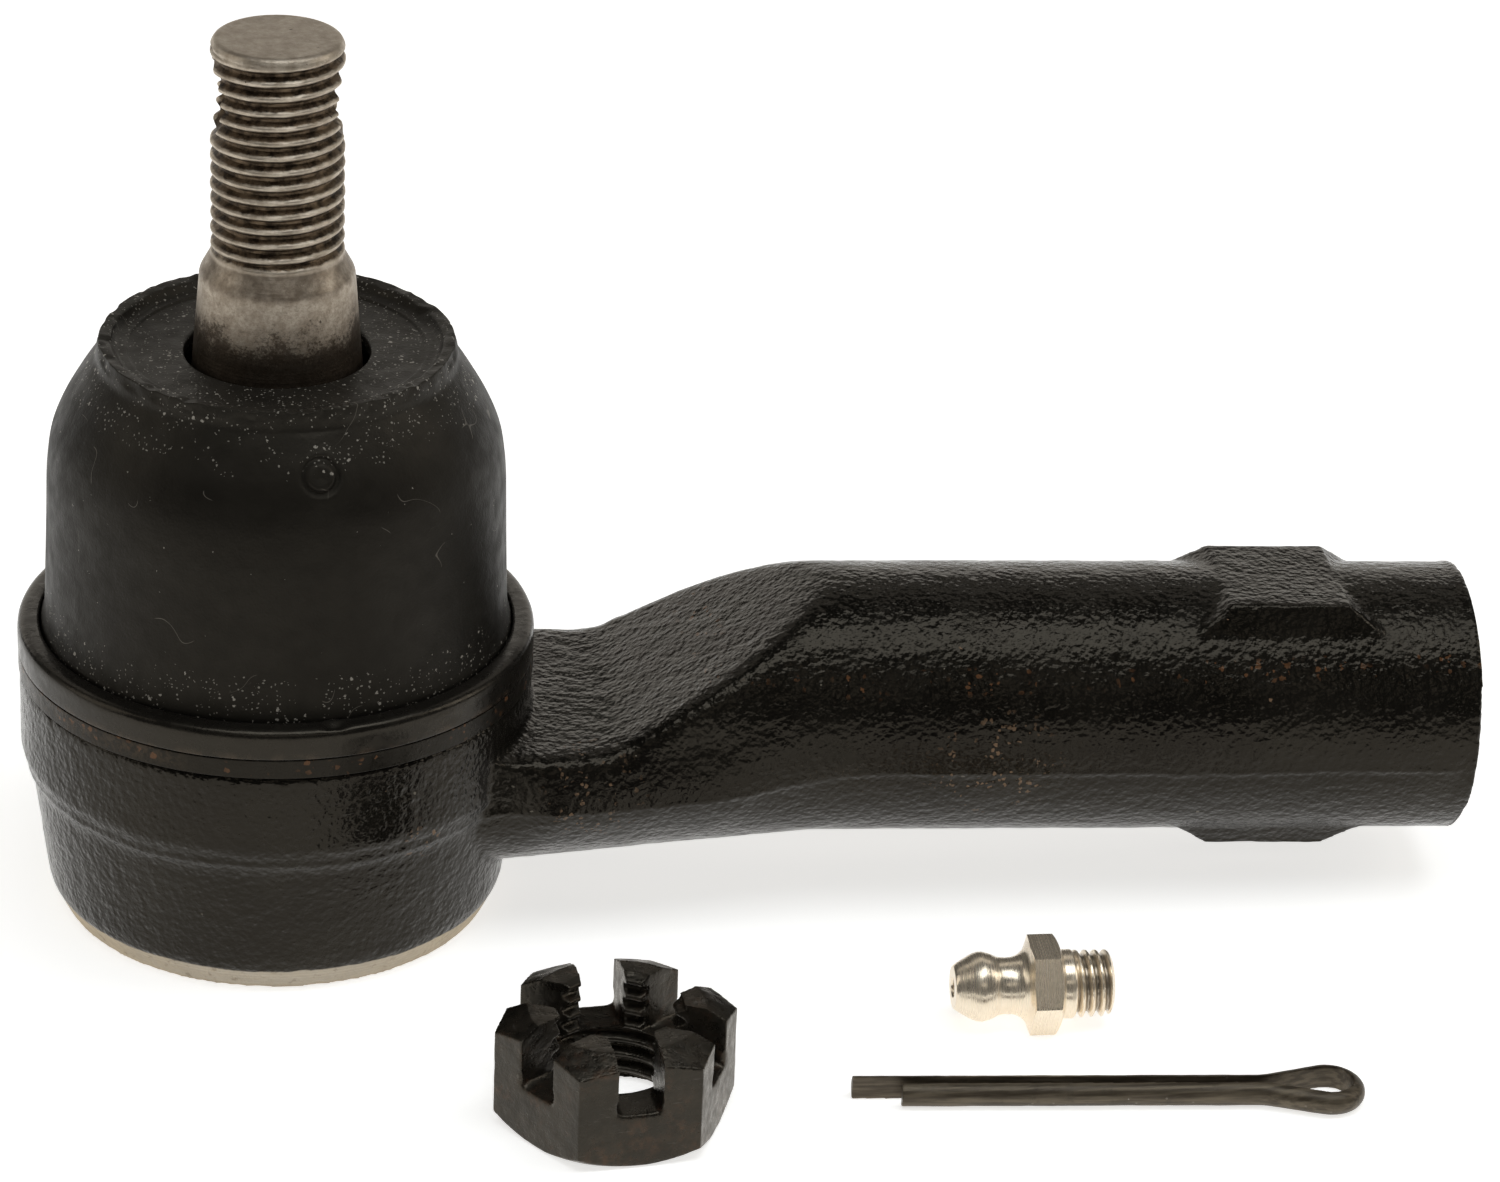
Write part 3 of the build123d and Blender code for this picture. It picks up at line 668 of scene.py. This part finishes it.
def forged_housing():
    """The forging: pebbled skin, wavy neck top, parting line and the threaded shank."""
    obj = cad_copy("housing", "forged_housing")
    along = Vector((math.cos(SHANK_DROOP), 0, -math.sin(SHANK_DROOP)))
    inward = Matrix.Translation(SHANK_MOUTH) @ (-along).to_track_quat("Z", "Y").to_matrix().to_4x4()

    # The bore is filled while the skin is shaped, and cut again with its thread at the end
    filler_r, near, far = 9.0, 0.6, 54.0
    outline = np.array([(0, near), (filler_r, near), (filler_r, far), (0, far)]) * MM
    boolean(obj, revolved("filler", outline, 96, place=inward), "UNION")
    remeshed(obj, 0.34 * MM)
    relax(obj, 2)
    neck_bulge(obj)

    def round_edges(points):
        """The upper edges of the neck."""
        x, y, z = (points / MM).T
        return (
            smoothstep(24.0, 24.8, np.hypot(x, y)) * smoothstep(60.0, 54.0, x) * smoothstep(12.5, 14.5, z)
        )

    relax(obj, 90, round_edges)

    def amount(points, directions):
        x, y, z = (points / MM).T
        out = np.hypot(x, y)

        # Faces that were turned stay smooth: inside, the bottom rim, the ring's seat and the shank's end
        turned_parts = np.maximum.reduce([
            smoothstep(19.7, 19.4, out),
            smoothstep(2.9, 2.5, z) * smoothstep(25.0, 23.5, out),
            smoothstep(23.1, 23.4, z) * smoothstep(24.2, 23.9, out),
            smoothstep(110.6, 111.0, x),
        ])
        skin = 1 - turned_parts
        wander = turned(points)
        swell = lumps(wander, 9.0 * MM, 1) * 0.04 + lumps(wander, 3.0 * MM, 2) * 0.02
        pebble = lumps(wander, 1.25 * MM, 3) * 0.032 + lumps(wander, 0.75 * MM, 4) * 0.018

        # Wavy skin on the neck's flat top, drawn across it
        top = smoothstep(0.8, 0.95, directions[:, 2]) * smoothstep(24.0, 26.0, x) * smoothstep(58.0, 50.0, x)
        slanted = np.array(Matrix.Rotation(math.radians(25), 3, "Z")) @ points.T
        waves = lumps(slanted.T, (2.2 * MM, 0.65 * MM, 2.0 * MM), 5) * 0.055
        ripples = waves * top + pebble * (1 - 0.7 * top)

        # Parting line of the forging dies: a fine ridge with the lower half set back a little
        over = z - parting_height(x) + lumps(points, 8.0 * MM, 6) * 0.3
        broken = 0.75 + 0.25 * lumps(points, 2.5 * MM, 7)
        ridge = np.exp(-((over / 0.30) ** 2)) * broken * (0.16 + 0.06 * smoothstep(30.0, 20.0, x))
        step = smoothstep(0.4, -0.4, over) * smoothstep(40.0, 46.0, x) * 0.10
        steep = smoothstep(0.75, 0.35, np.abs(directions[:, 2])) * smoothstep(110.5, 109.0, x)
        flash = (ridge - step) * steep
        return (skin * (swell - 0.08 + ripples + flash)) * MM

    displace(obj, amount)
    plug = screw_plug(
        "plug",
        SHANK_BORE_R,
        SHANK_THREAD_R,
        SHANK_THREAD_PITCH,
        SHANK_THREAD_DEPTH,
        mouth_r=SHANK_THREAD_R + 1.5 * MM,
        point=4.3 * MM,                # the drill's cone
    )
    plug.data.transform(inward)
    boolean(obj, plug, "DIFFERENCE")
    return finished(obj, forging_paint(), "housing", "forging_paint", "housing", crease=50)


def threaded_stud():
    """The ball stud with its rolled thread, its cross hole and the countersinks that notch the thread."""
    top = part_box("ball_stud")[1].z
    neck_r = 6.2 * MM
    flat = 10.5 * MM                   # from the ball's centre down to its flat underside
    arc = [
        (BALL_R * math.cos(a), BALL_Z + BALL_R * math.sin(a))
        for a in np.linspace(-math.asin(flat / BALL_R), math.acos(neck_r / BALL_R), 40)
    ]
    corners = [(0, BALL_Z - flat), *arc]
    corners += [(r * MM, z * MM, f * MM) for r, z, f in (
        (6.2, 32.0, 4.0),
        (6.9, 38.0, 3.0),
        (8.45, 43.6, 2.0),
        (6.95, 62.5, 0.35),
        (5.95, 64.3, 0.5),
        (6.0, 64.8, 0.2),
        (6.0, 83.95, 0.5),
        (5.55, 84.6, 0.6),
    )]
    corners.append((0, top))
    outline = rounded(corners, 0.14 * MM)
    pitch = (STUD_THREAD_HIGH - STUD_THREAD_LOW) / STUD_THREAD_TURNS

    def change(angle, r, z):
        shoulder = smoothstep(STUD_THREAD_LOW - 0.2 * MM, STUD_THREAD_LOW + 0.8 * MM, z)
        cap = smoothstep(STUD_THREAD_HIGH, STUD_THREAD_HIGH - 0.5 * MM, z)
        groove = thread_groove(angle, z, STUD_THREAD_LOW, pitch) * shoulder * cap
        spot = on_surface(angle, r, z)
        dents = (lumps(spot, 1.1 * MM, 21) * 0.035 + lumps(spot, 4.0 * MM, 22) * 0.03).reshape(r.shape)
        on_thread = shoulder * smoothstep(top, STUD_THREAD_HIGH, z)
        sunk = groove * THREAD_DEPTH + (0.04 + dents * 0.9) * MM * on_thread
        return np.where(r > 2 * MM, r - sunk, r), z

    obj = revolved("threaded_stud", outline, 160, change)
    hole = revolved(
        "hole",
        np.array([
            (0, -8.0),
            (COUNTERSINK_R / MM + 2.0, -8.0),
            (COTTER_HOLE_R / MM, -4.1),
            (COTTER_HOLE_R / MM, 4.1),
            (COUNTERSINK_R / MM + 2.0, 8.0),
            (0, 8.0),
        ]) * MM,
        64,
        place=Matrix.Translation((0, 0, COTTER_HOLE_Z)) @ Matrix.Rotation(math.pi / 2, 4, "Y"),
    )
    boolean(obj, hole, "DIFFERENCE")
    mark_recess(obj, STUD_CREST_R, THREAD_DEPTH, Vector((0, 0, 0)), 2, STUD_THREAD_LOW, STUD_THREAD_HIGH)
    return finished(obj, stud_steel(), "stud", "stud_steel", "ball_stud")


def mark_recess(obj, crest_r, depth, centre, axis, low, high):
    """Stores how deep each vertex of a threaded stretch lies under its crest, 0 to 1, for the material's
    painted shade in the thread roots.
    """
    points = coordinates(obj.data) - np.array(centre)
    along = points[:, axis]
    across = np.delete(points, axis, axis=1)
    inside = (along > low) & (along < high)
    value = np.where(inside, np.clip((crest_r - np.hypot(*across.T)) / depth, 0, 1), 0)
    stored = obj.data.attributes.new("recess", "FLOAT", "POINT")
    stored.data.foreach_set("value", value.astype(np.float32))


def moulded_boot():
    """The rubber dome: the outline runs up its outside, over the rim and the disc, and down its inside."""
    outline = rounded([(r * MM, z * MM, f * MM) for r, z, f in (
        (19.35, 28.0, 0.2),
        (19.35, 23.65, 0.1),
        (23.62, 23.6, 0.08),
        (23.62, 25.38, 0.08),
        (21.5, 25.38, 0.1),
        (21.5, 28.2, 0.3),
        (21.25, 28.9, 0.5),
        (21.0, 37.0, 3.0),
        (20.85, 43.5, 3.0),
        (20.4, 46.8, 2.0),
        (19.35, 49.3, 1.6),
        (17.6, 52.3, 1.5),
        (16.35, 54.1, 0.4),
        (16.25, 54.9, 0.3),
        (16.0, 55.9, 0.12),
        (15.0, 55.8, 0.25),
        (14.35, 54.95, 0.3),
        (13.5, 54.95, 0.1),
        (13.3, 54.75, 0.1),
        (11.0, 54.7, 0.3),
        (8.35, 54.7, 0.35),
        (8.3, 53.7, 0.1),
        (14.0, 53.7, 0.1),
        (14.0, 51.7, 1.0),
        (18.0, 46.5, 3.0),
        (18.6, 42.5, 3.0),
        (18.9, 29.5, 1.0),
        (19.35, 28.0, 0.1),
    )], 0.32 * MM)[:-1]
    mark_angle = math.radians(-81.4)
    mark_z = 50.7 * MM
    near_mark = (outline[:, 0] > 17.0 * MM) & (np.abs(outline[:, 1] - mark_z) < 2.2 * MM)
    finer = [outline[0]]
    for before, here, close in zip(outline, outline[1:], near_mark[1:]):
        pieces = 3 if close else 1
        finer += [before + (here - before) * k / pieces for k in range(1, pieces + 1)]
    outline = np.array(finer)

    def change(angle, r, z):
        spot = on_surface(angle, r, z)
        shape = r.shape
        outer = smoothstep(18.9 * MM, 19.2 * MM, r + (z - 43 * MM) * 0.33 * (z > 43 * MM))
        body = outer * smoothstep(28.6 * MM, 30.0 * MM, z)
        swell = (lumps(spot, 9.0 * MM, 31).reshape(shape) * 0.07 - 0.07) * body

        # Torn flash round the rim
        rim = smoothstep(54.6 * MM, 55.6 * MM, z) * smoothstep(14.0 * MM, 15.2 * MM, r)
        torn = lumps(spot, 1.6 * MM, 32).reshape(shape) * 0.22
        torn = torn + lumps(spot, 0.7 * MM, 33).reshape(shape) * 0.16

        # Moulded disc in a round groove, on a low swelling of the shoulder
        away = np.hypot(angle_from(angle, mark_angle) * r, (z - mark_z) * 1.15) / MM
        on_outside = (r > 16.5 * MM) & (z > 44 * MM) & (z < 54 * MM)
        ring = np.exp(-((away / 2.9) ** 2)) * 0.55 - np.exp(-(((away - 1.5) / 0.28) ** 2)) * 0.42
        ring -= np.exp(-((away / 0.6) ** 2)) * 0.2
        r = r + (swell + rim * torn * 0.7 + np.where(on_outside, ring, 0)) * MM
        z = z - rim * np.abs(torn) * 0.9 * MM
        return r, z

    obj = revolved("moulded_boot", outline, 300, change, loop=True, finest=mark_angle)
    finished(obj, boot_rubber(), None, "boot_rubber", "dust_boot", crease=60)
    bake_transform(obj)
    return obj


def clamp_ring():
    """The smooth ring over the boot's foot. Its crimp leaves a notch in the top and a nib inside."""
    outline = rounded([(r * MM, z * MM, f * MM) for r, z, f in (
        (21.62, 26.5, 0.1),
        (21.62, 25.42, 0.25),
        (23.68, 25.42, 0.22),
        (23.68, 28.25, 1.5),
        (21.62, 28.28, 0.45),
        (21.62, 26.5, 0.1),
    )], 0.25 * MM)[:-1]
    nib_angle = math.radians(-80.0)
    nib_width = 0.8
    ring_r = 22.0

    def change(angle, r, z):
        aside = angle_from(angle, nib_angle) * ring_r / nib_width
        nib = np.exp(-(aside ** 4)) * smoothstep(26.9 * MM, 27.8 * MM, z)
        inward = smoothstep(22.9 * MM, 21.9 * MM, r)
        spot = on_surface(angle, r, z)
        wobble = lumps(spot, 5.0 * MM, 41).reshape(r.shape) * 0.04 - 0.04
        z = z - 0.5 * nib * (1 - inward) * smoothstep(23.6 * MM, 22.6 * MM, r) * MM
        return r - (0.2 * nib * inward - wobble * (1 - inward)) * MM, z

    obj = revolved("clamp_ring", outline, 300, change, loop=True)
    return finished(obj, ring_paint(), "housing", "ring_paint", "boot_retainer_ring")


def slotted_nut():
    """The loose castle nut, with its thread cut and the corners of its slots' floors rounded."""
    obj = cad_copy("castle_nut", "slotted_nut")
    plug = screw_plug("nut_plug", NUT_BORE_R - 0.05 * MM, NUT_THREAD_R, NUT_THREAD_PITCH, 24 * MM)
    plug.data.transform(Matrix.Translation(NUT_CENTRE - Vector((0, 0, 6 * MM))))
    boolean(obj, plug, "DIFFERENCE")
    remeshed(obj, 0.15 * MM)
    relax(obj, 2)

    def slot_floors(points):
        x, y, z = (points - np.array(NUT_CENTRE)).T
        sixth = math.pi / 3
        gap = (np.arctan2(y, x) - NUT_SLOT_ANGLE + sixth / 2) % sixth - sixth / 2
        out = np.hypot(x, y)
        past_side = out * np.sin(np.abs(gap)) - NUT_SLOT_HALF
        near_floor = smoothstep(1.6 * MM, 1.0 * MM, np.abs(z - NUT_SLOT_FLOOR))
        clear_of_thread = smoothstep(6.3 * MM, 6.8 * MM, out)
        return near_floor * clear_of_thread * smoothstep(0.9 * MM, 0.4 * MM, past_side)

    relax(obj, 60, slot_floors)

    def amount(points, directions):
        wander = turned(points)
        return (lumps(wander, 2.4 * MM, 51) * 0.035 + lumps(wander, 0.9 * MM, 52) * 0.018 - 0.05) * MM

    displace(obj, amount)
    points = coordinates(obj.data)
    points[:, 2] = np.maximum(points[:, 2], 0)     # it stands flat on the base plane
    move_to(obj, points)
    return finished(obj, black_oxide(), "nut", "black_oxide", "castle_nut")


def greased_nipple():
    """The loose grease nipple, from its mouth at 0 to the end of its thread, then laid along X."""
    hex_start, hex_end = 6.95, 9.85
    thread_start, thread_end = 10.9, 14.15
    thread_pitch = 0.907               # 28 threads to the inch
    thread_depth = 0.52
    outline = rounded([(r, z, f) for r, z, f in (
        (1.0, 0.0, 0.05),
        (1.95, 0.0, 0.2),
        (2.15, 0.25, 0.2),
        (3.02, 1.75, 0.5),
        (3.23, 2.5, 0.6),
        (3.0, 3.4, 0.7),
        (2.66, 4.05, 0.4),
        (2.58, 4.6, 0.3),
        (2.58, 5.4, 0.5),
        (2.85, 6.1, 0.5),
        (3.35, 6.62, 0.4),
        (4.05, 6.93, 0.05),
        (4.58, hex_start, 0.02),
        (4.58, 9.3, 0.05),
        (3.3, hex_end, 0.05),
        (3.15, hex_end + 0.02, 0.05),
        (3.15, thread_start - 0.1, 0.1),
        (3.08, thread_start, 0.05),
        (3.02, thread_end, 0.1),
        (2.45, 14.5, 0.1),
        (1.1, 14.5, 0.1),
        (0.95, 14.35, 0.0),
        (0.95, 8.6, 0.0),
        (1.35, 8.6, 0.0),
        (1.35, 1.9, 0.1),
        (0.85, 1.4, 0.1),
        (0.85, 0.15, 0.1),
        (1.0, 0.0, 0.0),
    )], 0.075)[:-1] * MM
    apothem = FITTING_FLATS / 2
    sixth = math.pi / 3

    def change(angle, r, z):
        facet = ((angle + sixth / 2) % sixth) - sixth / 2
        flat = apothem / np.cos(facet)
        on_hex = (z > (hex_start - 0.5) * MM) & (z < (hex_end + 0.01) * MM) & (r > 3.25 * MM)
        r = np.where(on_hex, np.minimum(r, flat), r)
        on_thread = smoothstep(thread_start * MM, (thread_start + 0.35) * MM, z) * (r > 2.9 * MM)
        groove = thread_groove(angle, z, thread_start * MM, thread_pitch * MM)
        return r - groove * on_thread * thread_depth * MM, z

    along_x = Matrix.Translation(FITTING_TIP) @ Matrix.Rotation(math.pi / 2, 4, "Y")
    obj = revolved("grease_nipple", outline, 168, change, along_x, loop=True)
    low, high = thread_start * MM, thread_end * MM
    mark_recess(obj, 3.08 * MM, thread_depth * MM, FITTING_TIP, 0, low, high)
    return finished(obj, nickel_plate(), "fitting", "nickel_plate", "grease_fitting_body", crease=25)


def nipple_spring():
    """The small spring behind the check ball."""
    obj = cad_copy("grease_fitting_spring", "nipple_spring")
    steel = inner_steel("fine spring steel", *SPRING_STEEL)
    finished(obj, steel, "fitting", "spring_steel", "grease_fitting_spring")
    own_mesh(obj)
    return obj


def split_pin():
    """The loose cotter pin, with worn edges."""
    obj = cad_copy("cotter_pin", "split_pin")
    remeshed(obj, 0.11 * MM)
    relax(obj, 3)

    def amount(points, directions):
        wander = turned(points)
        return (lumps(wander, 1.8 * MM, 61) * 0.02 + lumps(wander, 0.7 * MM, 62) * 0.012 - 0.03) * MM

    displace(obj, amount)
    return finished(obj, pin_steel(), "cotter", "pin_steel", "cotter_pin")


def inner_pieces():
    """The CAD pieces that stay as they are get the look of machined, sintered or pressed steel."""
    looks = (
        ("bearing metal", BEARING_METAL, ("upper_bearing", "lower_bearing")),
        ("spring steel", SPRING_STEEL, ("preload_spring",)),
        ("pressed plate", PRESSED_PLATE, ("cover_plate", "boot_stiffener_ring", "grease_fitting_ball")),
    )
    for name, look, nodes in looks:
        material = inner_steel(name, *look)
        for node in nodes:
            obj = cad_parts[node]
            obj.data.materials.clear()
            obj.data.materials.append(material)


# ---------------------------------------------------------------- stage, light and camera

def stage():
    floor = new_object("floor", [(-3, -3, 0), (3, -3, 0), (3, 3, 0), (-3, 3, 0)], [(0, 1, 2, 3)])
    floor.data.materials.append(pale_floor())

    world = bpy.data.worlds.new("studio")
    world.use_nodes = True
    world.node_tree.nodes["Background"].inputs["Color"].default_value = (1, 0.99, 0.97, 1)
    world.node_tree.nodes["Background"].inputs["Strength"].default_value = 0.02
    bpy.context.scene.world = world

    target = Vector((0.05, 0, 0.03))

    def softbox(name, azimuth, elevation, distance, width, height, power, color=(1.0, 0.95, 0.87)):
        """Azimuth 0 is the front and 90 the shank's side. Lengths are metres and power is watts."""
        light = bpy.data.lights.new(name, "AREA")
        light.shape = "RECTANGLE"
        light.size = width
        light.size_y = height
        light.energy = power
        light.color = color
        lamp = bpy.data.objects.new(name, light)
        bpy.context.scene.collection.objects.link(lamp)
        turn, rise = math.radians(azimuth), math.radians(elevation)
        toward = Vector((math.sin(turn) * math.cos(rise), -math.cos(turn) * math.cos(rise), math.sin(rise)))
        lamp.location = target + toward * distance
        lamp.rotation_euler = toward.to_track_quat("Z", "Y").to_euler()

    softbox("overhead", 18, 74, 0.9, 0.95, 0.45, 3.7, (0.93, 0.97, 1.0))
    softbox("front_low", 0, 34, 1.0, 0.8, 0.16, 0.32)
    softbox("left", -90, 25, 0.9, 0.45, 0.6, 1.0)
    softbox("right", 85, 30, 0.9, 0.3, 0.5, 1.3)
    softbox("back", 180, 15, 1.2, 2.0, 0.6, 3.8)
    softbox("high_back", 180, 51, 1.1, 1.7, 0.34, 1.1)
    bpy.context.scene.view_settings.view_transform = "Standard"


def camera():
    azimuth, elevation, roll = math.radians(-8.48), math.radians(26.56), math.radians(2.5)
    distance = 0.52083
    aim_right, aim_up = 0.04332, 0.03249
    aim = Vector((aim_right * math.cos(azimuth), aim_right * math.sin(azimuth), aim_up))
    back = Vector((
        math.sin(azimuth) * math.cos(elevation),
        -math.cos(azimuth) * math.cos(elevation),
        math.sin(elevation),
    ))
    right = Vector((math.cos(azimuth), math.sin(azimuth), 0))
    up = back.cross(right)
    x_axis = right * math.cos(roll) + up * math.sin(roll)
    y_axis = up * math.cos(roll) - right * math.sin(roll)
    lens = bpy.data.cameras.new("camera")
    lens.sensor_width = 36
    lens.lens = 136.66
    lens.clip_start = 0.01
    obj = bpy.data.objects.new("camera", lens)
    bpy.context.scene.collection.objects.link(obj)
    turn = Matrix((x_axis, y_axis, back)).transposed().to_4x4()
    obj.matrix_world = Matrix.Translation(aim + back * distance) @ turn
    bpy.context.scene.camera = obj


camera()
stage()
inner_pieces()
forged_housing()
threaded_stud()
moulded_boot()
clamp_ring()
slotted_nut()
greased_nipple()
nipple_spring()
split_pin()
